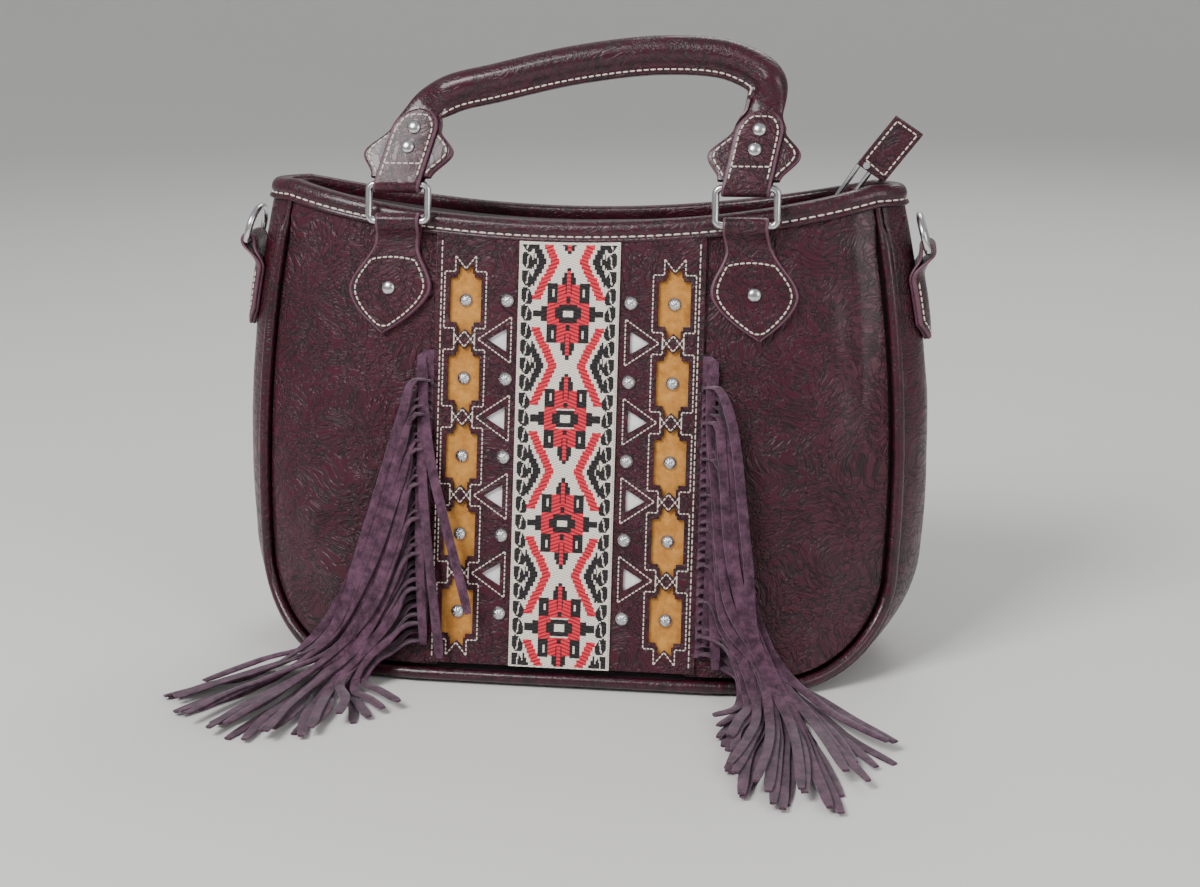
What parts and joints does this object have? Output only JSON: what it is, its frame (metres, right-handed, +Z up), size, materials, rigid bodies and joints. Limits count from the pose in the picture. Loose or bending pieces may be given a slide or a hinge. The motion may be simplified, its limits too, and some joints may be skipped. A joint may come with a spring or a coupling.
{
  "type": "fringed handbag",
  "caption": "Structured tote handbag with a decorated centre panel, side fringes, two rolled handles on rings, side rings and a zip mouth.",
  "frame": {"origin": "centre of the flat base, on the floor", "axes": "+Z up, -Y towards the decorated front, +X to the right as seen from the front"},
  "size_m": [0.3625, 0.2745, 0.3119],
  "materials": {
    "burgundy_leather": "crinkled glossy faux leather",
    "dark_leather": "smooth glossy faux leather",
    "plum_suede": "suede",
    "tan_suede": "suede",
    "white_leather": "smooth",
    "woven_ribbon": "woven",
    "lining_cloth": "plain weave",
    "zip_tape": "woven tape",
    "nickel": "polished",
    "board": "plain"
  },
  "bodies": {
    "bag": {"front_left_panel": "burgundy_leather", "front_right_panel": "burgundy_leather", "back_panel": "burgundy_leather", "gusset": "burgundy_leather", "front_piping": "dark_leather", "back_piping": "dark_leather", "mouth_binding": "dark_leather", "lining": "lining_cloth", "base_board": "board", "centre_overlay": "burgundy_leather", "left_suede_inlay": "tan_suede", "left_white_inlay": "white_leather", "right_suede_inlay": "tan_suede", "right_white_inlay": "white_leather", "ribbon_band": "woven_ribbon", "front_left_tab": "burgundy_leather", "front_left_tab_rivet": "nickel", "front_right_tab": "burgundy_leather", "front_right_tab_rivet": "nickel", "back_left_tab": "burgundy_leather", "back_left_tab_rivet": "nickel", "back_right_tab": "burgundy_leather", "back_right_tab_rivet": "nickel", "left_side_tab": "burgundy_leather", "right_side_tab": "burgundy_leather", "zip_stringer_front": "zip_tape", "zip_stringer_back": "zip_tape", "left_fringe": "plum_suede", "right_fringe": "plum_suede"},
    "front_rings": {"front_left_ring": "nickel", "front_right_ring": "nickel"},
    "front_handle": {"front_handle": "dark_leather", "front_left_strap": "burgundy_leather", "front_left_strap_rivet_1": "nickel", "front_left_strap_rivet_2": "nickel", "front_right_strap": "burgundy_leather", "front_right_strap_rivet_1": "nickel", "front_right_strap_rivet_2": "nickel"},
    "back_rings": {"back_left_ring": "nickel", "back_right_ring": "nickel"},
    "back_handle": {"back_handle": "dark_leather", "back_left_strap": "burgundy_leather", "back_left_strap_rivet_1": "nickel", "back_left_strap_rivet_2": "nickel", "back_right_strap": "burgundy_leather", "back_right_strap_rivet_1": "nickel", "back_right_strap_rivet_2": "nickel"},
    "left_side_ring": {"left_side_ring": "nickel"},
    "right_side_ring": {"right_side_ring": "nickel"},
    "zip_slider": {"zip_slider": "nickel"},
    "zip_pull": {"zip_pull_link": "nickel"},
    "zip_fob": {"zip_fob": "burgundy_leather"}
  },
  "joints": [
    {"name": "front_ring_hinge", "type": "hinge", "parent": "bag", "child": "front_rings", "pos_m": [0, -0.02355, 0.22363], "axis": [1, 0, 0], "range_deg": [0, 160]},
    {"name": "front_handle_hinge", "type": "hinge", "parent": "front_rings", "child": "front_handle", "pos_m": [0, -0.02042, 0.24136], "axis": [1, 0, 0], "range_deg": [-36, 24]},
    {"name": "back_ring_hinge", "type": "hinge", "parent": "bag", "child": "back_rings", "pos_m": [0, 0.04965, 0.22283], "axis": [1, 0, 0], "range_deg": [0, 155]},
    {"name": "back_handle_hinge", "type": "hinge", "parent": "back_rings", "child": "back_handle", "pos_m": [0, 0.05865, 0.20724], "axis": [1, 0, 0], "range_deg": [0, 74]},
    {"name": "left_side_ring_hinge", "type": "hinge", "parent": "bag", "child": "left_side_ring", "pos_m": [-0.17305, 0.01213, 0.20885], "axis": [0, -1, 0], "range_deg": [0, 155]},
    {"name": "right_side_ring_hinge", "type": "hinge", "parent": "bag", "child": "right_side_ring", "pos_m": [0.17305, 0.01213, 0.20885], "axis": [0, 1, 0], "range_deg": [0, 155]},
    {"name": "zip_slide", "type": "slide", "parent": "bag", "child": "zip_slider", "axis": [-1, 0, 0], "range_m": [0, 0.224]},
    {"name": "zip_link_hinge", "type": "hinge", "parent": "zip_slider", "child": "zip_pull", "pos_m": [0.127, 0.01281, 0.227], "axis": [0, -1, 0], "range_deg": [0, 70]},
    {"name": "zip_fob_hinge", "type": "hinge", "parent": "zip_pull", "child": "zip_fob", "pos_m": [0.14198, 0.01281, 0.24946], "axis": [0, -1, 0], "range_deg": [0, 60]}
  ]
}
